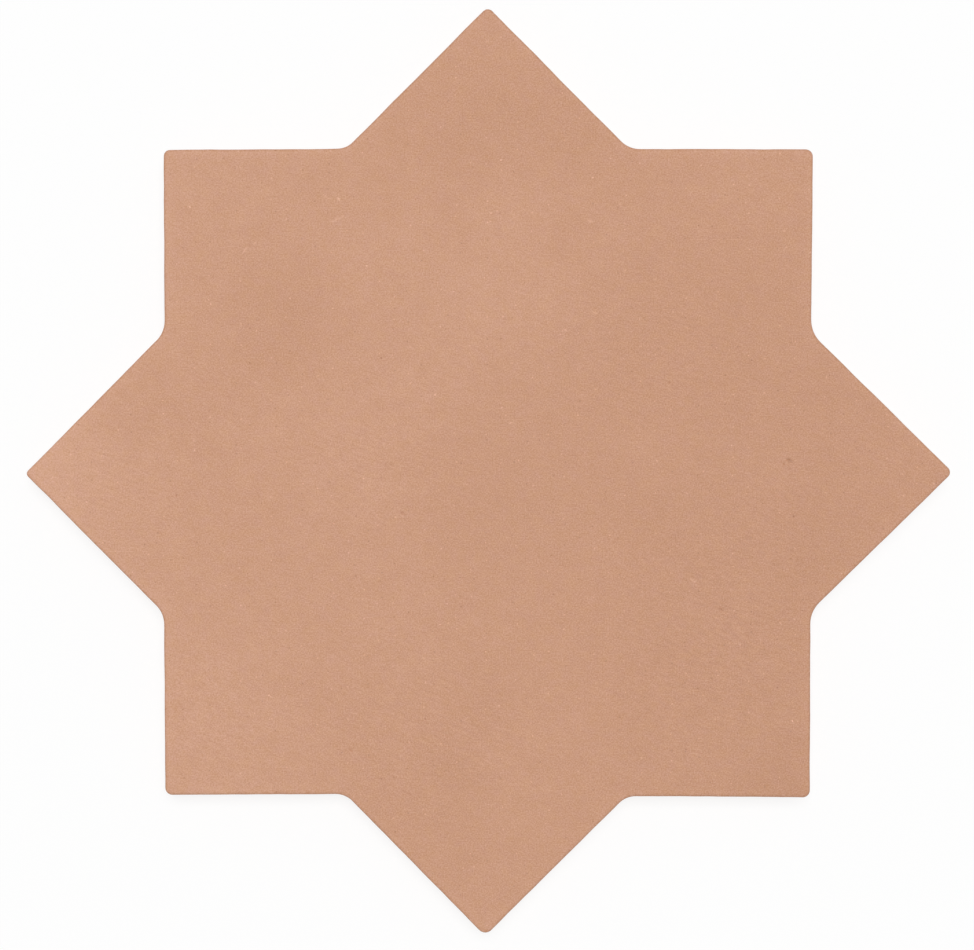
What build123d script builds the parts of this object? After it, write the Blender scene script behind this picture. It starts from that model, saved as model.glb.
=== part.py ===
from build123d import *
import math
import os

# Eight-pointed star tile, pressed and fired as one piece of porcelain, lying on its back.
# Millimetres, +Z up, face upwards. The origin is the centre of the back, where it is bedded.

# Outline seen from above: an upright square, and over it a square turned 45 degrees
# whose four points stand out past the upright one's sides.
square_side = 117.7
point_reach = 25.15  # from a side of the upright square to the rounded point beyond it
point_radius = 1.3  # on all eight points
notch_radius = 5.0  # in the eight notches between them

# Section.
thickness = 9.0
face_edge_radius = 0.5  # eased edge around the face
back_bevel = 0.6  # bevel around the back

# Straight keying grooves pressed into the back, where the adhesive takes hold.
groove_width = 5.0
groove_pitch = 7.9
groove_depth = 0.7
groove_border = 5.0  # flat border between the grooves and the tile's sides

# The turned square is drawn with sharp points, and rounding takes this much off each.
point_trim = point_radius * (math.sqrt(2) - 1)
turned_side = math.sqrt(2) * (square_side / 2 + point_reach + point_trim)

# Grooves lie in pairs about the middle of the back, which stays flat. The last pair is at
# least as long as it is wide.
field_reach = math.sqrt(2) * (turned_side / 2 - groove_border)
grooves_each_side = math.floor((field_reach - groove_width) / groove_pitch + 0.5)

# The star's outline, with its points and notches rounded. The notches are nearest the middle.
with BuildSketch() as outline:
    Rectangle(square_side, square_side)
    Rectangle(turned_side, turned_side, rotation=45)
    points = outline.vertices().group_by(SortBy.DISTANCE)[1:]
    fillet(points, point_radius)
    notches = outline.vertices().group_by(SortBy.DISTANCE)[0]
    fillet(notches, notch_radius)

# The part of the back inside its flat border.
with BuildSketch() as keyed_field:
    Rectangle(square_side - 2 * groove_border, square_side - 2 * groove_border)
    Rectangle(turned_side - 2 * groove_border, turned_side - 2 * groove_border, rotation=45)

with BuildSketch() as grooves:
    with GridLocations(0, groove_pitch, 1, 2 * grooves_each_side):
        Rectangle(2 * field_reach, groove_width)
    add(keyed_field.sketch, mode=Mode.INTERSECT)

with BuildPart() as star_tile:
    extrude(outline.sketch, amount=thickness)
    face = star_tile.faces().sort_by(Axis.Z)[-1]
    fillet(face.edges(), face_edge_radius)
    back = star_tile.faces().sort_by(Axis.Z)[0]
    chamfer(back.edges(), back_bevel)
    extrude(grooves.sketch, amount=groove_depth, mode=Mode.SUBTRACT)

star_tile.part.label = "star_tile"

os.makedirs("parts", exist_ok=True)
export_step(star_tile.part, "parts/star_tile.step")
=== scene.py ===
"""The looks of a matt porcelain star tile, built around its solid, and the stage that it lies on."""
import math
from collections import namedtuple

import bpy
import numpy as np
from bpy.props import FloatProperty, FloatVectorProperty, PointerProperty
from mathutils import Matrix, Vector, geometry, kdtree, noise


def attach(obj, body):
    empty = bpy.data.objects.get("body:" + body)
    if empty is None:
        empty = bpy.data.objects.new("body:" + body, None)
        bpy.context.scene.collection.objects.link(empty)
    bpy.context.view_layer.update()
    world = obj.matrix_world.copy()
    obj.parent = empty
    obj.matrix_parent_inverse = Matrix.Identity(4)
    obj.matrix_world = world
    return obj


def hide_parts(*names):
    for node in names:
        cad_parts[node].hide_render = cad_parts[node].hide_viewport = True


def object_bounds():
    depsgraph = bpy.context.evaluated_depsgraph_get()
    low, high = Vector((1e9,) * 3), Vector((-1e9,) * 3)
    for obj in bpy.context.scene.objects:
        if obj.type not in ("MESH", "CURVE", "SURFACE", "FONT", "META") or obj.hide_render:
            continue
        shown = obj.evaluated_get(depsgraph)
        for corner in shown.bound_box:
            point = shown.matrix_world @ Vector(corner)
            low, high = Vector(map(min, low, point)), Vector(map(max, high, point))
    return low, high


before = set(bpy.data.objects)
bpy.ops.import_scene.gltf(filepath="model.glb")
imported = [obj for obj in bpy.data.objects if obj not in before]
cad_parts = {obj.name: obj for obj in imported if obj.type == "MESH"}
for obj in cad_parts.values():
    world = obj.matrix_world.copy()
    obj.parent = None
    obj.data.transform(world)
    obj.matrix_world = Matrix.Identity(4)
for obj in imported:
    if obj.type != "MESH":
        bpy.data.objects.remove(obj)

bl_info = {
    "name": "Star Tile",
    "version": (1, 0, 0),
    "blender": (4, 5, 0),
    "location": "View3D > Sidebar > Star Tile",
    "description": "Makes a matt porcelain star tile and the stage that it lies on",
    "category": "Object",
}

NODE = "star_tile"
BODY = "root"
CAD_LOW, CAD_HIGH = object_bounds()
MM = 0.001

# The corners of the pressed outline, anticlockwise from the right-hand point, with the notches
# between: how far each strays from the regular star, in millimetres to the right and up the
# face, and how large its rounding is beside the usual one.
CORNERS = (
    (0.04, 0.05, 0.87), (0.01, -0.25, 1.20), (0.30, -0.05, 1.01), (-0.08, 0.05, 0.95),
    (0.01, 0.25, 0.90), (-0.09, 0.05, 0.80), (-0.13, -0.15, 0.85), (-0.02, -0.21, 1.00),
    (0.32, -0.22, 0.60), (-0.08, 0.02, 1.00), (0.17, 0.18, 1.00), (-0.22, 0.32, 0.90),
    (-0.49, 0.16, 1.20), (-0.50, -0.02, 0.90), (-0.26, -0.29, 1.00), (-0.10, 0.38, 1.10),
)

# Shades are counted in levels: 255ths of the step from black to white on a display.

# Soft patches where the fired slip came out paler or darker: the place on the face and the
# reach of the patch in millimetres, and its levels.
CLOUDS = (
    (-79, -1, 15, 6.5), (-64, 9, 8, -3.0), (-55, 47, 14, 1.5), (-38, 30, 11, -3.0),
    (-25, 34, 8, 2.0), (-19, 8, 12, 2.5), (-20, -7, 10, 2.2), (-36, 13, 9, 1.5),
    (-43, -2, 7, -1.2), (-48, -34, 16, 2.0), (-53, -50, 11, 3.0), (2, 32, 12, 4.0),
    (4, 19, 7, -1.5), (3, 49, 9, 3.0), (-4, 59, 9, -2.5), (15, 62, 10, -1.5),
    (46, 17, 16, -2.0), (57, -15, 12, -3.0), (74, -1, 8, 1.2), (55, -57, 12, -4.5),
    (48, 57, 14, 2.0), (-10, -30, 10, 2.4), (-1, -41, 8, -2.5), (-5, -54, 5, -4.5),
    (6, -5, 20, -1.8), (35, -10, 12, -2.0), (36, -35, 12, -1.0), (-1, 72, 8, -1.0),
    (34, -32, 15, -1.2), (-12, -66, 9, -2.0), (-70, -13, 8, -1.6), (-46, 18, 7, -1.4),
    (18, 22, 6, -1.2), (-11, 17, 6, 1.8), (48, 24, 8, 1.6), (50, 44, 8, 1.0),
    (-28, 44, 13, 0.9), (11, 5, 6, 1.0), (-48, -31, 9, 1.0), (-2, -51, 4, 1.4),
)
CLOUD_SLOPE = -0.035  # levels per millimetre, from the left to the right of the face

# The slip is lighter beside the edge, a painted highlight, and darker on its very line, painted shade.
PAINTED_RIM_HIGHLIGHT_LEVELS = 9.5
PAINTED_RIM_HIGHLIGHT_REACH = 0.6 * MM
PAINTED_EDGE_SHADE_LEVELS = -16.0
PAINTED_EDGE_SHADE_REACH = 0.28 * MM

# Patches where the face was rubbed harder or less, so that its drag marks stand out or fade: the
# place and the reach in millimetres, and the strength added to the marks that run all over.
DRAG_PATCHES = (
    (42, -26, 14, 0.6), (38, -46, 13, 0.4), (-49, -47, 14, 0.25), (-18, 2, 13, 0.25),
    (-70, -3, 9, 0.3), (-22, 42, 16, -0.2), (-12, -46, 13, 0.35), (1, -50, 8, 0.4),
    (52, -9, 11, 0.35), (74, 0, 10, 0.3), (30, 22, 18, 0.35), (-48, 0, 9, -0.15),
)
DRAG_EVERYWHERE = 0.42

# Marks in the face: the place, length and width in millimetres, the slope in degrees and the
# levels. Pits are hollows whose dark levels are painted shade. Flecks are pale grains and hairs
# that stand a little proud; the first two are painted highlights on the lit lower walls of the
# first and third pits.
Mark = namedtuple("Mark", "x y length width slope levels")
PITS = [Mark(*row) for row in (
    (54.9, 2.2, 1.9, 0.65, -32, -23), (53.8, 1.5, 0.45, 0.40, 0, -8), (-15.6, -7.3, 1.0, 0.6, -20, -14),
    (42.4, -24.9, 1.5, 0.60, -25, -11), (-42.0, 27.7, 0.6, 0.35, -80, -14), (-19.4, 20.8, 0.5, 0.5, 0, -28),
    (33.0, 16.4, 0.7, 0.4, 25, -12), (-56.6, -4.1, 0.5, 0.4, 0, -22), (-11.4, -44.9, 0.5, 0.4, -60, -24),
    (55.6, -8.0, 0.5, 0.45, -60, -26), (1.7, -17.1, 0.6, 0.35, 0, -15), (-24.9, -50.5, 0.9, 0.7, 0, -6),
)]
FLECKS = [Mark(*row) for row in (
    (54.4, 1.5, 0.6, 0.35, -30, 9), (-15.5, -8.0, 0.6, 0.4, -80, 10),
    (-22.0, 37.6, 0.45, 0.40, 0, 36), (-9.6, 14.1, 0.50, 0.40, 0, 30), (-36.0, 31.7, 0.50, 0.40, -50, 20),
    (-54.2, 48.3, 0.50, 0.40, -40, 30), (-42.4, 41.7, 0.60, 0.40, 50, 20), (-44.2, 40.4, 1.90, 0.30, 58, 16),
    (19.1, 53.6, 0.45, 0.40, 20, 32), (-39.8, -40.5, 0.45, 0.40, 0, 32), (-7.4, -23.8, 0.50, 0.45, 90, 20),
    (-7.2, -27.4, 0.45, 0.40, 90, 18), (45.9, -31.3, 0.50, 0.30, -80, 30),
    (55.4, -45.2, 0.50, 0.35, -60, 38), (56.4, -45.3, 0.50, 0.40, 0, 14),
    (2.0, -42.4, 0.60, 0.40, -45, 16), (18.6, 45.7, 1.40, 0.60, -25, 13),
    (19.5, 29.0, 1.50, 0.50, -25, 15), (14.1, 25.9, 1.10, 0.50, -30, 15), (53.9, 43.9, 1.10, 0.50, -8, 14),
    (2.4, 56.8, 0.50, 0.35, 20, 42), (24.1, 48.8, 0.80, 0.65, -40, 10), (54.3, 41.0, 0.45, 0.35, 0, 22),
    (33.7, 29.2, 0.50, 0.35, 90, 18), (4.4, 19.9, 0.60, 0.35, -20, 17), (4.2, 9.0, 1.30, 0.30, 15, 15),
    (3.3, 10.4, 0.55, 0.35, -40, 20), (0.6, 47.2, 0.80, 0.50, -30, 16), (0.4, 45.7, 0.45, 0.45, 0, 18),
    (1.7, 47.6, 0.50, 0.40, 0, 14), (-27.1, 49.7, 1.10, 0.32, -55, 32), (-27.3, 46.1, 3.80, 0.28, 27, 11),
    (-29.5, 50.2, 2.30, 0.28, -38, 10), (-44.9, 27.0, 1.20, 0.30, -68, 14),
    (53.2, -27.4, 0.75, 0.35, -50, 24), (37.5, -19.8, 2.60, 0.65, -25, 9),
    (38.1, -20.7, 1.70, 0.50, -30, 8), (-4.5, -72.0, 0.40, 0.35, 0, 22), (-2.5, -71.7, 0.55, 0.30, 90, 28),
)]
PIT_DEPTH = 0.22  # of a pit's width
FLECK_HEIGHT = 0.06  # of a fleck's width

# Noise in the finish: the size of its grain in millimetres, its detail, and its levels.
SLIP_MOTTLE = (16.0, 3.0, 3.5)
SLIP_BLOTCHES = (2.6, 1.0, 2.8)
# Streaks along the drag marks: partly the rubbed slip's tone, partly painted shade and highlight of their
# relief.
DRAG_TONE_AND_SHADE = (0.60, 1.0, 9.0)
BODY_MOTTLE = (5.0, 3.0, 5.0)
BODY_SAND = (0.35, 1.0, 8.0)
BODY_DRAWING = (0.9, 2.0, 4.0)
# Fine grey grain in the slip's colour: partly painted glints, partly pale and dark grains.
GLINTS_AND_GRAIN = (0.25, 1.0, 0.13)  # in shares of white, not levels
SLIP_RAGS = (1.4, 3.0, 1.0)  # in millimetres of height, not levels

# Specks: the spacing of their cells in millimetres, the share of the cells that have one, the
# width of the largest in millimetres, and the levels.
PALE_SPECKS = (2.8, 0.60, 0.42, 27.0)
# Dark specks are painted shade that stands for tiny pits with no hollow in the mesh.
PIT_SHADE_SPECKS = (2.4, 0.50, 0.44, -27.0)
# Body pores are dark specks of painted shade, with no hollow in the mesh.
PORE_SHADE_SPECKS = (1.3, 0.5, 0.6, -22.0)
BODY_GRAINS = (1.6, 0.4, 0.5, 14.0)

DRAG_SQUEEZE = 0.29  # of the noise along the drag marks, which draws them out
BODY_SQUEEZE = 0.1  # of the noise up the sides, which draws the body out
HUE_SIZE = 1.6  # in millimetres
HUE_DETAIL = 2.0
HUE_SWING = 0.2  # of the blue in the slip
SLIP_WHOLE = 1.6  # millimetres below the face, down to where the slip covers the sides
SLIP_GONE = 2.4  # millimetres below the face, where it has ended
BODY_LEVEL = 0.012  # share of the body's light in one level
SHEEN_PER_MM = 0.4
SHEEN_SWING = 0.08  # of the roughness, up and down
RUB_PER_MM = 1.6
RUB_DETAIL = 2.0
RUB_HEIGHT = 0.05 * MM
TOOTH_PER_MM = 2.6
TOOTH_DETAIL = 1.0
TOOTH_HEIGHT = 0.012 * MM
SPECULAR = 0.35


def length(name, description, default):
    """A property for a size in metres."""
    return FloatProperty(
        name=name, description=description, default=default, min=0.0, precision=5, unit="LENGTH"
    )


def share(name, description, default, most=1.0):
    """A property for a plain amount."""
    return FloatProperty(
        name=name, description=description, default=default, min=0.0, max=most, subtype="FACTOR"
    )


def angle(name, description, degrees):
    """A property for an angle, given in degrees."""
    return FloatProperty(
        name=name, description=description, default=math.radians(degrees), subtype="ANGLE"
    )


def colour(name, description, default):
    """A property for a colour in linear light."""
    return FloatVectorProperty(
        name=name, description=description, default=default, size=3, min=0.0, max=1.0, subtype="COLOR"
    )


class StarTileSizes(bpy.types.PropertyGroup):
    """Sizes of the pressed tile."""

    point_to_point: length(
        "Point to Point", "Across the star, over two opposite points", CAD_HIGH.x - CAD_LOW.x
    )
    thickness: length("Thickness", "From the back to the face", CAD_HIGH.z - CAD_LOW.z)
    square_side: length("Square Side", "Side of the upright one of the star's two squares", 117.7 * MM)
    point_radius: length("Point Radius", "Rounding of the eight points", 1.3 * MM)
    notch_radius: length("Notch Radius", "Rounding of the eight notches", 5.0 * MM)
    face_edge_depth: length("Face Edge Depth", "Depth of the eased edge around the face", 0.4 * MM)
    face_edge_width: length("Face Edge Width", "Width of the eased edge around the face", 0.95 * MM)
    back_bevel: length("Back Bevel", "Bevel around the back", 0.6 * MM)
    groove_width: length("Groove Width", "Width of a keying groove at the back", 5.0 * MM)
    groove_pitch: length("Groove Pitch", "Distance from one groove to the next", 7.9 * MM)
    groove_depth: length("Groove Depth", "Depth of a groove", 0.7 * MM)
    groove_border: length("Groove Border", "Flat border around the grooves", 5.0 * MM)
    groove_draft: length("Groove Draft", "How far a groove's wall leans in", 0.3 * MM)


class StarTileHandwork(bpy.types.PropertyGroup):
    """How uneven the tile is."""

    stray: share("Corner Stray", "How much of the corners' stray is kept", 1.0, 3.0)
    edge_wave: length("Edge Wave", "How far the edges wander", 0.07 * MM)
    face_swell: length("Face Swell", "Height of the slow swells in the face", 0.05 * MM)
    drag_angle: angle("Drag Angle", "Direction in which the face was rubbed", -20.0)
    drag_height: length("Drag Height", "Height of the drag marks", 0.012 * MM)
    drag_length: length("Drag Length", "Length of the drag marks", 2.6 * MM)
    drag_width: length("Drag Width", "Width of the drag marks", 0.9 * MM)
    row_spacing: length("Row Spacing", "Between rows of the face's mesh", 0.27 * MM)
    point_spacing: length("Point Spacing", "Between points along a row", 0.85 * MM)


class StarTileFinish(bpy.types.PropertyGroup):
    """Colours and surface of the fired slip and the body under it."""

    slip: colour("Slip", "Middle colour of the face", (0.581, 0.312, 0.198))
    slip_dark: colour("Dark Slip", "The face 40 levels darker", (0.353, 0.163, 0.089))
    slip_pale: colour("Pale Slip", "The face 40 levels paler", (0.869, 0.527, 0.382))
    body: colour("Body", "Bare body at the sides and the back", (0.60, 0.36, 0.25))
    roughness: share("Roughness", "Roughness of the matt face", 0.72)


class StarTileStage(bpy.types.PropertyGroup):
    """Floor, light and camera."""

    floor: colour("Floor", "Colour of the floor", (0.98, 0.98, 0.98))
    floor_glow: share("Floor Glow", "How far the floor is lifted to white for the eye", 0.8)
    sky_level: share("Sky Level", "Light from all around", 0.30, 2.0)
    lamp_level: share("Lamp Level", "Light of the lamp on a level surface", 0.70, 2.0)
    lamp_tilt: angle("Lamp Tilt", "How far the lamp leans from straight above", 9.0)
    lamp_turn: angle("Lamp Turn", "Side that the lamp leans to, from the right", 80.0)
    lamp_size: length("Lamp Size", "Side of the square lamp", 1.2)
    lamp_distance: length("Lamp Distance", "From the lamp to the tile", 3.0)
    lens: FloatProperty(name="Lens", description="Focal length", default=100.0, unit="CAMERA")


# The picture's width and height, and the star's width and middle in it, in pixels.
PICTURE_WIDTH = 974
PICTURE_HEIGHT = 950
STAR_WIDTH = 923.0
STAR_MIDDLE_X = 487.8
STAR_MIDDLE_Y = 472.45

SEED = 4.0
LONG_WAVE = 9 * MM  # along the edges
SHORT_WAVE = 3 * MM
SHORT_WAVE_SHARE = 0.5  # of the long wave's height
SWELL_ACROSS_X = 34 * MM
SWELL_ACROSS_Y = 26 * MM
BROAD_DRAG_LENGTH = 1.7  # times a fine drag mark's
BROAD_DRAG_WIDTH = 2.1  # times a fine drag mark's
BROAD_DRAG_SHARE = 0.6  # of a fine drag mark's height
ROUNDING_STEPS = 8  # down the eased edge
SIDE_STEPS = 4  # down the sides
ARC_STEPS = 8  # in each corner's rounding
RUN_PIECES = 60  # along each straight run of the outline
SMALLEST_RADIUS = 0.12 * MM
MARK_SPOKES = 8
MARK_INNER_RING = 0.5  # of the way from a mark's middle to its rim
MARK_CLEARANCE = 1.2  # from a mark's middle to the nearest row, where its rim is 1
ROW_REACH = 1.5  # of the outline's, so that the turned rows cover it all
GROOVE_LIP = 0.12 * MM  # bevel at a groove's rim and floor
BEND_STEP = 0.001 * MM  # to either side of a bend in a groove's outline
SHARP_ANGLE = math.radians(40)
FLOOR_HALF = 2.0  # half of the floor's side
FLOOR_GAP = 0.05 * MM  # under the tile
RAMP_LEVELS = 40.0  # from the slip to its darkest and palest
FILL_INSIDE = 1  # keep the triangles inside the outermost loop
MERGE_DISTANCE = 1e-6  # in millimetres


def noise_at(x, y, across_x, across_y, seed):
    """Smooth noise from -1 to 1 at each place, in cells of the given size."""
    return np.array([noise.noise((u, v, seed)) for u, v in zip(x / across_x, y / across_y)])


def patches_at(x, y, patches):
    """The sum of soft round patches at each place. The patches are in millimetres."""
    total = np.zeros(len(x))
    for middle_x, middle_y, reach, strength in patches:
        far = np.hypot(x - middle_x * MM, y - middle_y * MM) / (reach * MM)
        total += strength * np.exp(-far * far)
    return total


def unit(vector):
    """The vector at a length of 1."""
    return vector / np.hypot(*vector)


def sharp_reach(sizes):
    """From the middle to a point of the turned square before rounding."""
    return sizes.point_to_point / 2 + sizes.point_radius * (math.sqrt(2) - 1)


def sharp_corners(sizes, stray):
    """The outline's corners before rounding, anticlockwise from the right-hand point."""
    half = sizes.square_side / 2
    reach = sharp_reach(sizes)
    notch = reach - half
    quarter = np.array([(reach, 0.0), (half, notch), (half, half), (notch, half)])
    quarter_turn = np.array([(0.0, 1.0), (-1.0, 0.0)])
    corners = [quarter @ np.linalg.matrix_power(quarter_turn, turn) for turn in range(4)]
    return np.concatenate(corners) + np.array(CORNERS)[:, :2] * MM * stray


def corner_radii(sizes, inset):
    """The rounding of each corner of the outline after an inset."""
    beside = np.array(CORNERS)[:, 2]
    points = np.maximum(sizes.point_radius * beside[0::2] - inset, SMALLEST_RADIUS)
    notches = sizes.notch_radius * beside[1::2] + inset
    return np.stack([points, notches], 1).ravel()


def corner_arc(before, corner, after, radius, is_point):
    """Points and outward normals of a corner's rounding."""
    back = unit(before - corner)
    ahead = unit(after - corner)
    half_angle = math.acos(np.dot(back, ahead)) / 2
    middle = corner + unit(back + ahead) * radius / math.sin(half_angle)
    start = corner + back * radius / math.tan(half_angle)
    first = math.atan2(*(start - middle)[::-1])
    sweep = math.pi - 2 * half_angle
    if not is_point:
        sweep = -sweep
    turns = first + np.linspace(0.0, sweep, ARC_STEPS + 1)
    spokes = np.stack([np.cos(turns), np.sin(turns)], 1)
    return middle + radius * spokes, spokes if is_point else -spokes


def rounded_ring(corners, radii):
    """Points and outward normals along an outline with rounded corners, anticlockwise."""
    count = len(corners)
    arcs = []
    for i in range(count):
        arcs.append(corner_arc(corners[i - 1], corners[i], corners[(i + 1) % count], radii[i], i % 2 == 0))
    steps = np.arange(1, RUN_PIECES)[:, None] / RUN_PIECES
    places = []
    normals = []
    for i in range(count):
        arc, spokes = arcs[i]
        run = arcs[(i + 1) % count][0][0] - arc[-1]
        outward = unit(np.array([run[1], -run[0]]))
        places += [arc, arc[-1] + run * steps]
        normals += [spokes, np.tile(outward, (len(steps), 1))]
    return np.concatenate(places), np.concatenate(normals)


def inset_loop(loop, inset):
    """A closed anticlockwise loop moved inwards by an equal distance along all its sides."""
    along = np.roll(loop, -1, axis=0) - loop
    along /= np.hypot(*along.T)[:, None]
    inward = np.stack([-along[:, 1], along[:, 0]], 1)
    before = np.roll(inward, 1, axis=0)
    spread = 1 + (inward * before).sum(1)
    return loop + inset * (inward + before) / spread[:, None]


def outline_rings(sizes, handwork, insets):
    """The tile's outline moved inwards by each inset, with as many points each time."""
    corners = sharp_corners(sizes, handwork.stray)
    outer, normals = rounded_ring(corners, corner_radii(sizes, 0.0))
    x, y = outer.T
    wave = noise_at(x, y, LONG_WAVE, LONG_WAVE, SEED)
    wave += SHORT_WAVE_SHARE * noise_at(x, y, SHORT_WAVE, SHORT_WAVE, SEED)
    wander = normals * (handwork.edge_wave * wave)[:, None]
    return [
        rounded_ring(inset_loop(corners, inset), corner_radii(sizes, inset))[0] + wander for inset in insets
    ]


def edge_profile(sizes):
    """Inset from the outline, height and share of the face's relief of each ring, downwards."""
    rings = []
    for turn in np.linspace(0.0, math.pi / 2, ROUNDING_STEPS + 1):
        inset = sizes.face_edge_width * (1 - math.sin(turn))
        drop = sizes.face_edge_depth * (1 - math.cos(turn))
        rings.append((inset, sizes.thickness - drop, math.cos(turn)))
    lowest = sizes.thickness - sizes.face_edge_depth
    for height in np.linspace(lowest, sizes.back_bevel, SIDE_STEPS + 1)[1:]:
        rings.append((0.0, height, 0.0))
    rings.append((sizes.back_bevel, 0.0, 0.0))
    return rings


def drag_strength(x, y):
    """How strongly the face was rubbed at each place."""
    return DRAG_EVERYWHERE + patches_at(x, y, DRAG_PATCHES)


def turned(x, y, degrees):
    """Places turned anticlockwise about the origin."""
    turn = math.radians(degrees)
    return x * math.cos(turn) - y * math.sin(turn), x * math.sin(turn) + y * math.cos(turn)


def mark_reach(x, y, mark):
    """How far each place is from a mark's middle: 1 at its rim."""
    along, across = turned(x / MM - mark.x, y / MM - mark.y, -mark.slope)
    return np.hypot(along / (mark.length / 2), across / (mark.width / 2))


def mark_share(x, y, mark):
    """From 0 at a mark's rim to 1 at its middle."""
    return np.clip(1 - mark_reach(x, y, mark) ** 2, 0, 1)


def face_relief(x, y, handwork):
    """Height of the face's relief at each place."""
    swell = noise_at(x, y, SWELL_ACROSS_X, SWELL_ACROSS_Y, SEED + 1)
    along, across = turned(x, y, -math.degrees(handwork.drag_angle))
    drags = noise_at(along, across, handwork.drag_length, handwork.drag_width, SEED + 2)
    broad_length = handwork.drag_length * BROAD_DRAG_LENGTH
    broad_width = handwork.drag_width * BROAD_DRAG_WIDTH
    drags += BROAD_DRAG_SHARE * noise_at(along, across, broad_length, broad_width, SEED + 3)
    height = handwork.face_swell * swell + handwork.drag_height * drag_strength(x, y) * drags
    for pit in PITS:
        height -= PIT_DEPTH * pit.width * MM * mark_share(x, y, pit)
    for fleck in FLECKS:
        height += FLECK_HEIGHT * fleck.width * MM * mark_share(x, y, fleck)
    return height


def face_levels(x, y, from_edge):
    """Levels of the slip at each place, against its middle colour, with painted highlight and shade along
    the edge and painted shade in the pits.
    """
    levels = patches_at(x, y, CLOUDS) + CLOUD_SLOPE * x / MM
    # Painted highlight beside the edge, and painted shade on its very line.
    levels += PAINTED_RIM_HIGHLIGHT_LEVELS * np.exp(-from_edge / PAINTED_RIM_HIGHLIGHT_REACH)
    levels += PAINTED_EDGE_SHADE_LEVELS * np.exp(-((from_edge / PAINTED_EDGE_SHADE_REACH) ** 2))
    # Pits are darkened with painted shade; the first two flecks are painted highlights on pit walls.
    for mark in PITS + FLECKS:
        levels += mark.levels * mark_share(x, y, mark)
    return levels


def mark_points(mark):
    """Points of the face's mesh at a mark: its middle, a ring within it and its rim."""
    turns = np.arange(MARK_SPOKES) * math.tau / MARK_SPOKES
    points = [np.zeros((1, 2))]
    for ring, offset in ((MARK_INNER_RING, 0.0), (1.0, math.pi / MARK_SPOKES)):
        along = ring * mark.length / 2 * np.cos(turns + offset)
        across = ring * mark.width / 2 * np.sin(turns + offset)
        points.append(np.stack(turned(along, across, mark.slope), 1))
    return (np.concatenate(points) + (mark.x, mark.y)) * MM


def inside(points, loop):
    """Which of the points lie inside a closed loop."""
    x, y = points.T
    found = np.zeros(len(points), bool)
    for (x0, y0), (x1, y1) in zip(loop, np.roll(loop, -1, axis=0)):
        if y0 != y1:
            crosses = (y0 > y) != (y1 > y)
            found ^= crosses & (x < x0 + (y - y0) * (x1 - x0) / (y1 - y0))
    return found


def face_points(loop, handwork):
    """Points of the face's mesh inside a loop: rows along the drag marks, and those of the marks."""
    far = np.abs(loop).max() * ROW_REACH
    along, across = np.meshgrid(
        np.arange(-far, far, handwork.point_spacing), np.arange(-far, far, handwork.row_spacing)
    )
    rows = np.stack(turned(along.ravel(), across.ravel(), math.degrees(handwork.drag_angle)), 1)
    marks = PITS + FLECKS
    for mark in marks:
        rows = rows[mark_reach(*rows.T, mark) > MARK_CLEARANCE]
    points = np.concatenate([rows, *map(mark_points, marks)])
    return points[inside(points, loop)]


def fill(points, loops):
    """Triangles between the points, along the loops and inside the outermost one, anticlockwise."""
    edges = []
    for loop in loops:
        edges += zip(loop, np.roll(loop, -1))
    edges = [(int(a), int(b)) for a, b in edges]
    flat = [Vector(point / MM) for point in points]
    made = geometry.delaunay_2d_cdt(flat, edges, [], FILL_INSIDE, MERGE_DISTANCE)
    triangles, sources = made[2], made[3]
    if not all(sources):
        raise RuntimeError("the loops of a filled face cross each other")
    return [[sources[corner][0] for corner in triangle] for triangle in triangles]


def groove_loops(sizes):
    """The outline of each keying groove in the back."""
    half = sizes.square_side / 2 - sizes.groove_border
    reach = sharp_reach(sizes) - math.sqrt(2) * sizes.groove_border

    def half_width(y):
        """Half of the grooved field's width at a height up the back."""
        square = half if abs(y) <= half else 0.0
        return max(square, reach - abs(y))

    each_side = math.floor((reach - sizes.groove_width) / sizes.groove_pitch + 0.5)
    loops = []
    for row in range(-each_side, each_side):
        low = (row + 0.5) * sizes.groove_pitch - sizes.groove_width / 2
        high = low + sizes.groove_width
        bends = sorted(
            y for y in (-half, half - reach, reach - half, half) if low + BEND_STEP < y < high - BEND_STEP
        )
        right = [(half_width(low + BEND_STEP), low)]
        for y in bends:
            right += [(half_width(y - BEND_STEP), y), (half_width(y + BEND_STEP), y)]
        right.append((half_width(high - BEND_STEP), high))
        left = [(-x, y) for x, y in reversed(right)]
        loops.append(np.array(right + left))
    return loops


def back_points(sizes):
    """Points of the grooves in the back, their heights, and the loops of their numbers."""
    points = []
    heights = []
    loops = []
    start = 0
    for groove in groove_loops(sizes):
        for inset, height in (
            (0.0, 0.0),
            (GROOVE_LIP, GROOVE_LIP),
            (sizes.groove_draft + GROOVE_LIP, sizes.groove_depth - GROOVE_LIP),
            (sizes.groove_draft + 2 * GROOVE_LIP, sizes.groove_depth),
        ):
            loop = inset_loop(groove, inset)
            points.append(loop)
            heights.append(np.full(len(loop), height))
            loops.append(start + np.arange(len(loop)))
            start += len(loop)
    return np.concatenate(points), np.concatenate(heights), loops


def distances(points, outline):
    """From each point to the nearest one of the outline."""
    tree = kdtree.KDTree(len(outline))
    for i, place in enumerate(outline):
        tree.insert((*place, 0.0), i)
    tree.balance()
    return np.array([tree.find((*point, 0.0))[2] for point in points])


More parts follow.
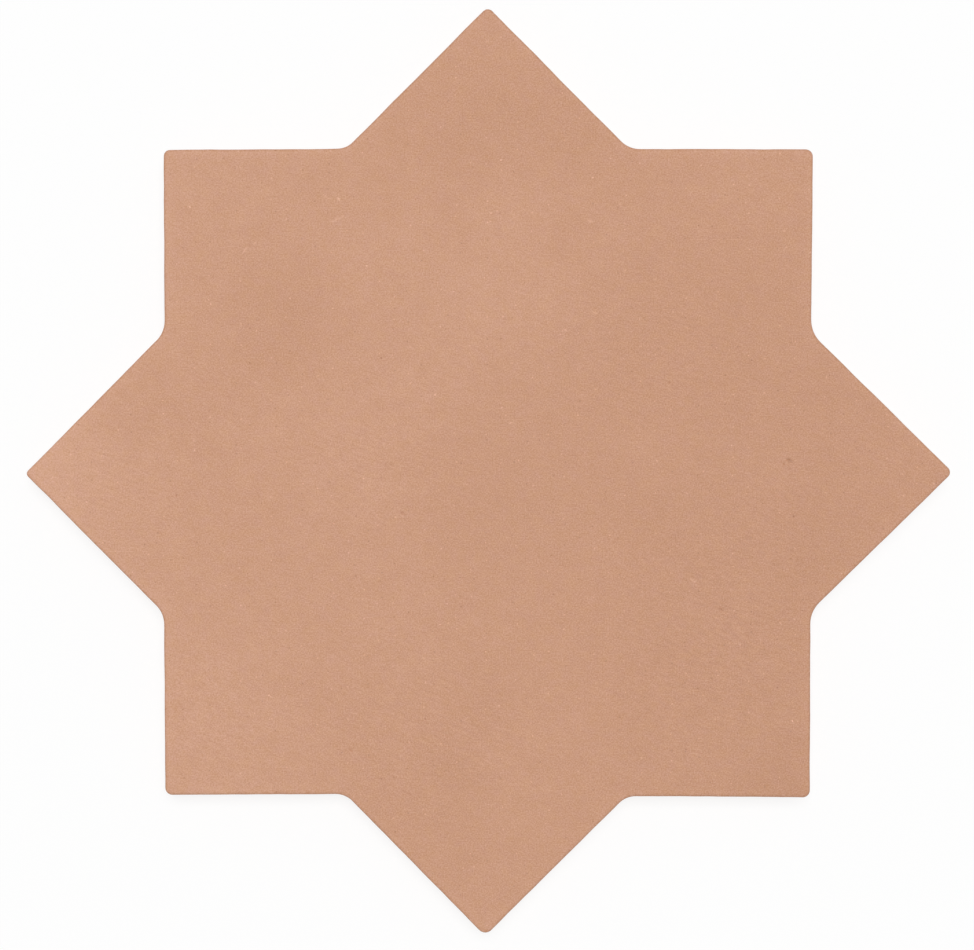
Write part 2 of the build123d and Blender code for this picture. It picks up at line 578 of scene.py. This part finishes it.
def tile_mesh(sizes, handwork):
    """The tile as one closed mesh, with its fields for the finish."""
    profile = edge_profile(sizes)
    insets = [row[0] for row in profile]
    outlines = outline_rings(sizes, handwork, [*insets, sizes.face_edge_width + handwork.row_spacing])
    clear_of_edge = outlines.pop()
    count = len(clear_of_edge)
    rings = []
    for flat, (_, height, relief_share) in zip(outlines, profile):
        relief = relief_share * face_relief(*flat.T, handwork)
        rings.append(np.column_stack([flat, height + relief]))

    flat = face_points(clear_of_edge, handwork)
    face = np.column_stack([flat, sizes.thickness + face_relief(*flat.T, handwork)])
    flat, heights, groove_numbers = back_points(sizes)
    back = np.column_stack([flat, heights])
    points = np.concatenate([*rings, face, back])

    ring_numbers = [np.arange(count) + count * ring for ring in range(len(rings))]
    face_numbers = np.concatenate([ring_numbers[0], np.arange(len(face)) + count * len(rings)])
    back_start = count * len(rings) + len(face)
    back_numbers = np.concatenate([ring_numbers[-1], np.arange(len(back)) + back_start])

    smooth = [[int(n) for n in face_numbers[t]] for t in fill(points[face_numbers, :2], [np.arange(count)])]
    for upper, lower in zip(ring_numbers, ring_numbers[1:]):
        quads = np.stack([upper, lower, np.roll(lower, -1), np.roll(upper, -1)], 1)
        smooth += quads.tolist()
    loops = [np.arange(count)] + [loop + count for loop in groove_numbers]
    plain = [[int(n) for n in back_numbers[t][::-1]] for t in fill(points[back_numbers, :2], loops)]

    mesh = bpy.data.meshes.new("fired_star_tile")
    mesh.from_pydata(points.tolist(), [], smooth + plain)
    mesh.polygons.foreach_set("use_smooth", [True] * len(smooth) + [False] * len(plain))
    x, y = points[:, 0], points[:, 1]
    outline = outlines[ROUNDING_STEPS]
    from_edge = distances(points[:, :2], outline)
    for name, values in (("levels", face_levels(x, y, from_edge)), ("drag", drag_strength(x, y))):
        mesh.attributes.new(name, "FLOAT", "POINT").data.foreach_set("value", values.astype(np.float32))
    mesh.set_sharp_from_angle(angle=SHARP_ANGLE)
    mesh.validate()
    mesh.update()
    return mesh


def add(tree, kind, inputs=None, **settings):
    """A new node with its settings, and its inputs set or linked."""
    made = tree.nodes.new(kind)
    for name, value in settings.items():
        setattr(made, name, value)
    for name, value in (inputs or {}).items():
        if isinstance(value, bpy.types.NodeSocket):
            tree.links.new(value, made.inputs[name])
        else:
            made.inputs[name].default_value = value
    return made


def math_node(tree, operation, *values):
    """The result of a sum on values or sockets."""
    return add(tree, "ShaderNodeMath", dict(enumerate(values)), operation=operation).outputs[0]


def grain(tree, place, size, detail, levels):
    """Noise of a grain size in millimetres, in levels up and down."""
    made = add(
        tree, "ShaderNodeTexNoise", {"Vector": place, "Scale": 1 / size, "Detail": detail}
    )
    return math_node(tree, "MULTIPLY_ADD", made.outputs["Fac"], 2 * levels, -levels)


def specks(tree, place, spacing, share_of_cells, largest, levels, spread="2D"):
    """Specks in some of the cells of the given spacing, in levels. Sizes are in millimetres."""
    cells = add(
        tree, "ShaderNodeTexVoronoi", {"Vector": place, "Scale": 1 / spacing}, voronoi_dimensions=spread
    ).outputs
    chance = add(tree, "ShaderNodeSeparateColor", {"Color": cells["Color"]}).outputs[0]
    radius = add(
        tree, "ShaderNodeMapRange",
        {"Value": chance, "From Min": 1 - share_of_cells, "From Max": 1.0, "To Max": largest / spacing / 2},
    ).outputs[0]
    return add(
        tree, "ShaderNodeMapRange",
        {"Value": cells["Distance"], "From Min": radius, "From Max": 0.0, "To Max": levels},
    ).outputs[0]


def rgba(values):
    """A colour with full cover."""
    return (*values, 1.0)


def matt_porcelain(sizes, handwork, finish):
    """The fired slip of the face and the bare body around it."""
    material = bpy.data.materials.new("matt_porcelain")
    material.use_nodes = True
    tree = material.node_tree
    tree.nodes.clear()

    local = add(tree, "ShaderNodeTexCoord").outputs["Object"]
    place = add(tree, "ShaderNodeVectorMath", {0: local, "Scale": 1 / MM}, operation="SCALE").outputs[0]
    across_drag = add(
        tree, "ShaderNodeMapping", {"Vector": place, "Rotation": (0.0, 0.0, -handwork.drag_angle)}
    ).outputs[0]
    stretched = add(
        tree, "ShaderNodeVectorMath", {0: across_drag, 1: (DRAG_SQUEEZE, 1.0, 1.0)}, operation="MULTIPLY"
    ).outputs[0]
    # The levels hold the slip's tone, with painted highlight and shade along the edge and painted shade in
    # the pits.
    levels = add(tree, "ShaderNodeAttribute", attribute_name="levels").outputs["Fac"]
    drag = add(tree, "ShaderNodeAttribute", attribute_name="drag").outputs["Fac"]

    for extra in (
        grain(tree, place, *SLIP_MOTTLE),
        grain(tree, place, *SLIP_BLOTCHES),
        # Drag streaks: partly tone, partly painted shade and highlight of the marks' relief.
        math_node(tree, "MULTIPLY", grain(tree, stretched, *DRAG_TONE_AND_SHADE), drag),
        specks(tree, place, *PALE_SPECKS),
        # Dark specks: painted shade for tiny pits.
        specks(tree, place, *PIT_SHADE_SPECKS),
    ):
        levels = math_node(tree, "ADD", levels, extra)
    shade = math_node(tree, "MULTIPLY_ADD", levels, 0.5 / RAMP_LEVELS, 0.5)
    ramp = add(tree, "ShaderNodeValToRGB", {"Fac": shade})
    ramp.color_ramp.elements[0].color = rgba(finish.slip_dark)
    ramp.color_ramp.elements[1].color = rgba(finish.slip_pale)
    ramp.color_ramp.elements.new(0.5).color = rgba(finish.slip)
    hue = add(
        tree, "ShaderNodeTexNoise", {"Vector": place, "Scale": 1 / HUE_SIZE, "Detail": HUE_DETAIL}
    ).outputs["Fac"]
    blue = math_node(tree, "MULTIPLY_ADD", hue, HUE_SWING, 1 - HUE_SWING / 2)
    tint = add(tree, "ShaderNodeCombineXYZ", {"X": 1.0, "Y": 1.0, "Z": blue}).outputs[0]
    # Fine grey grain: partly painted glints, partly pale and dark grains.
    glints_and_grain = grain(tree, place, *GLINTS_AND_GRAIN)
    face_colour = add(
        tree, "ShaderNodeVectorMath", {0: ramp.outputs["Color"], 1: tint, 2: glints_and_grain}, operation="MULTIPLY_ADD"
    ).outputs[0]

    height = add(tree, "ShaderNodeSeparateXYZ", {"Vector": place}).outputs["Z"]
    ragged = math_node(tree, "ADD", height, grain(tree, place, *SLIP_RAGS))
    covered = add(
        tree, "ShaderNodeMapRange",
        {
            "Value": ragged,
            "From Min": sizes.thickness / MM - SLIP_GONE,
            "From Max": sizes.thickness / MM - SLIP_WHOLE,
        },
    ).outputs[0]
    drawn_up = add(
        tree, "ShaderNodeVectorMath", {0: place, 1: (1.0, 1.0, BODY_SQUEEZE)}, operation="MULTIPLY"
    ).outputs[0]
    body_steps = grain(tree, place, *BODY_MOTTLE)
    for extra in (
        grain(tree, place, *BODY_SAND),
        grain(tree, drawn_up, *BODY_DRAWING),
        # Pores: dark specks of painted shade.
        specks(tree, place, *PORE_SHADE_SPECKS, "3D"),
        specks(tree, place, *BODY_GRAINS, "3D"),
    ):
        body_steps = math_node(tree, "ADD", body_steps, extra)
    body_light = math_node(tree, "MULTIPLY_ADD", body_steps, BODY_LEVEL, 1.0)
    body_colour = add(
        tree, "ShaderNodeVectorMath", {0: finish.body, "Scale": body_light}, operation="SCALE"
    ).outputs[0]
    colour_all_over = add(
        tree, "ShaderNodeMix", {"Factor": covered, "A": body_colour, "B": face_colour}, data_type="RGBA"
    ).outputs["Result"]

    sheen = add(tree, "ShaderNodeTexNoise", {"Vector": stretched, "Scale": SHEEN_PER_MM}).outputs["Fac"]
    roughness = add(
        tree, "ShaderNodeMapRange",
        {
            "Value": sheen,
            "To Min": finish.roughness - SHEEN_SWING,
            "To Max": finish.roughness + SHEEN_SWING,
        },
    ).outputs[0]

    rub = add(
        tree, "ShaderNodeTexNoise", {"Vector": stretched, "Scale": RUB_PER_MM, "Detail": RUB_DETAIL}
    ).outputs["Fac"]
    rubbed = add(
        tree, "ShaderNodeBump",
        {"Height": math_node(tree, "MULTIPLY", rub, drag), "Distance": RUB_HEIGHT, "Strength": 1.0},
    ).outputs["Normal"]
    tooth = add(
        tree, "ShaderNodeTexNoise", {"Vector": place, "Scale": TOOTH_PER_MM, "Detail": TOOTH_DETAIL}
    ).outputs["Fac"]
    bumped = add(
        tree, "ShaderNodeBump",
        {"Height": tooth, "Distance": TOOTH_HEIGHT, "Strength": 1.0, "Normal": rubbed},
    ).outputs["Normal"]

    shader = add(
        tree, "ShaderNodeBsdfPrincipled",
        {
            "Base Color": colour_all_over,
            "Roughness": roughness,
            "Normal": bumped,
            "Specular IOR Level": SPECULAR,
        },
    )
    add(tree, "ShaderNodeOutputMaterial", {"Surface": shader.outputs[0]})
    return material


def seen_by_eye(tree):
    """1 for what the camera sees, straight or through a reflection, and 0 for what lights the tile."""
    path = add(tree, "ShaderNodeLightPath").outputs
    reflected = math_node(tree, "MAXIMUM", path["Is Glossy Ray"], path["Is Transmission Ray"])
    return math_node(tree, "MAXIMUM", path["Is Camera Ray"], reflected)


def floor_paint(stage):
    """A plain pale floor that is lifted towards white and keeps the tile's shadow."""
    material = bpy.data.materials.new("pale_floor")
    material.use_nodes = True
    tree = material.node_tree
    tree.nodes.clear()
    matt = add(tree, "ShaderNodeBsdfDiffuse", {"Color": rgba(stage.floor)}).outputs[0]
    white = add(tree, "ShaderNodeEmission", {"Color": rgba((1.0, 1.0, 1.0)), "Strength": 1.0}).outputs[0]
    lift = math_node(tree, "MULTIPLY", seen_by_eye(tree), stage.floor_glow)
    mixed = add(tree, "ShaderNodeMixShader", {0: lift, 1: matt, 2: white}).outputs[0]
    add(tree, "ShaderNodeOutputMaterial", {"Surface": mixed})
    return material


def white_sky(stage):
    """Even light from all around that looks white."""
    world = bpy.data.worlds.new("white_sky")
    world.use_nodes = True
    tree = world.node_tree
    tree.nodes.clear()
    strength = add(
        tree, "ShaderNodeMapRange", {"Value": seen_by_eye(tree), "To Min": stage.sky_level, "To Max": 1.0}
    ).outputs[0]
    sky = add(tree, "ShaderNodeBackground", {"Color": rgba((1.0, 1.0, 1.0)), "Strength": strength})
    add(tree, "ShaderNodeOutputWorld", {"Surface": sky.outputs[0]})
    return world


class STARTILE_OT_make_tile(bpy.types.Operator):
    """Make the star tile around its solid"""

    bl_idname = "star_tile.make_tile"
    bl_label = "Make Star Tile"

    def execute(self, context):
        scene = context.scene
        sizes, handwork = scene.star_tile_sizes, scene.star_tile_handwork
        mesh = tile_mesh(sizes, handwork)
        mesh.materials.append(matt_porcelain(sizes, handwork, scene.star_tile_finish))
        tile = bpy.data.objects.new("fired_star_tile", mesh)
        scene.collection.objects.link(tile)
        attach(tile, BODY)
        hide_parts(NODE)
        return {"FINISHED"}


class STARTILE_OT_make_stage(bpy.types.Operator):
    """Make the floor, the light and the camera straight above the tile"""

    bl_idname = "star_tile.make_stage"
    bl_label = "Make Stage"

    def execute(self, context):
        scene = context.scene
        stage, sizes = scene.star_tile_stage, scene.star_tile_sizes
        below = CAD_LOW.z - FLOOR_GAP
        mesh = bpy.data.meshes.new("floor")
        signs = ((-1, -1), (1, -1), (1, 1), (-1, 1))
        corners = [(x * FLOOR_HALF, y * FLOOR_HALF, below) for x, y in signs]
        mesh.from_pydata(corners, [], [(0, 1, 2, 3)])
        mesh.materials.append(floor_paint(stage))
        floor = bpy.data.objects.new("floor", mesh)
        scene.collection.objects.link(floor)
        scene.world = white_sky(stage)

        lamp = bpy.data.lights.new("softbox", "AREA")
        lamp.size = stage.lamp_size
        lamp.energy = stage.lamp_level * (math.pi * stage.lamp_distance) ** 2 / math.cos(stage.lamp_tilt)
        softbox = bpy.data.objects.new("softbox", lamp)
        lean = math.sin(stage.lamp_tilt)
        towards = Vector(
            (lean * math.cos(stage.lamp_turn), lean * math.sin(stage.lamp_turn), math.cos(stage.lamp_tilt))
        )
        softbox.location = towards * stage.lamp_distance
        softbox.rotation_euler = towards.to_track_quat("Z", "Y").to_euler()
        scene.collection.objects.link(softbox)

        lens = bpy.data.cameras.new("camera")
        lens.lens = stage.lens
        camera = bpy.data.objects.new("camera", lens)
        pixel = sizes.point_to_point / STAR_WIDTH
        widest = sizes.thickness - sizes.face_edge_depth
        camera.location = (
            (PICTURE_WIDTH / 2 - STAR_MIDDLE_X) * pixel,
            (STAR_MIDDLE_Y - PICTURE_HEIGHT / 2) * pixel,
            widest + PICTURE_WIDTH * pixel * lens.lens / lens.sensor_width,
        )
        scene.collection.objects.link(camera)
        scene.camera = camera
        scene.view_settings.view_transform = "Standard"
        return {"FINISHED"}


class STARTILE_PT_panel(bpy.types.Panel):
    """Settings and buttons of the star tile"""

    bl_label = "Star Tile"
    bl_space_type = "VIEW_3D"
    bl_region_type = "UI"
    bl_category = "Star Tile"

    def draw(self, context):
        layout = self.layout
        for name in SETTINGS:
            group = getattr(context.scene, name)
            box = layout.box()
            for key in group.bl_rna.properties.keys():
                if key not in ("rna_type", "name"):
                    box.prop(group, key)
        layout.operator(STARTILE_OT_make_tile.bl_idname)
        layout.operator(STARTILE_OT_make_stage.bl_idname)


SETTINGS = {
    "star_tile_sizes": StarTileSizes,
    "star_tile_handwork": StarTileHandwork,
    "star_tile_finish": StarTileFinish,
    "star_tile_stage": StarTileStage,
}
CLASSES = (*SETTINGS.values(), STARTILE_OT_make_tile, STARTILE_OT_make_stage, STARTILE_PT_panel)


def register():
    """Adds the classes and the scene's settings."""
    for each in CLASSES:
        bpy.utils.register_class(each)
    for name, group in SETTINGS.items():
        setattr(bpy.types.Scene, name, PointerProperty(type=group))


def unregister():
    """Takes the settings and the classes away again."""
    for name in SETTINGS:
        delattr(bpy.types.Scene, name)
    for each in reversed(CLASSES):
        bpy.utils.unregister_class(each)


def main():
    """Makes the tile and its stage."""
    register()
    bpy.ops.star_tile.make_tile()
    bpy.ops.star_tile.make_stage()


if __name__ == "__main__":
    main()
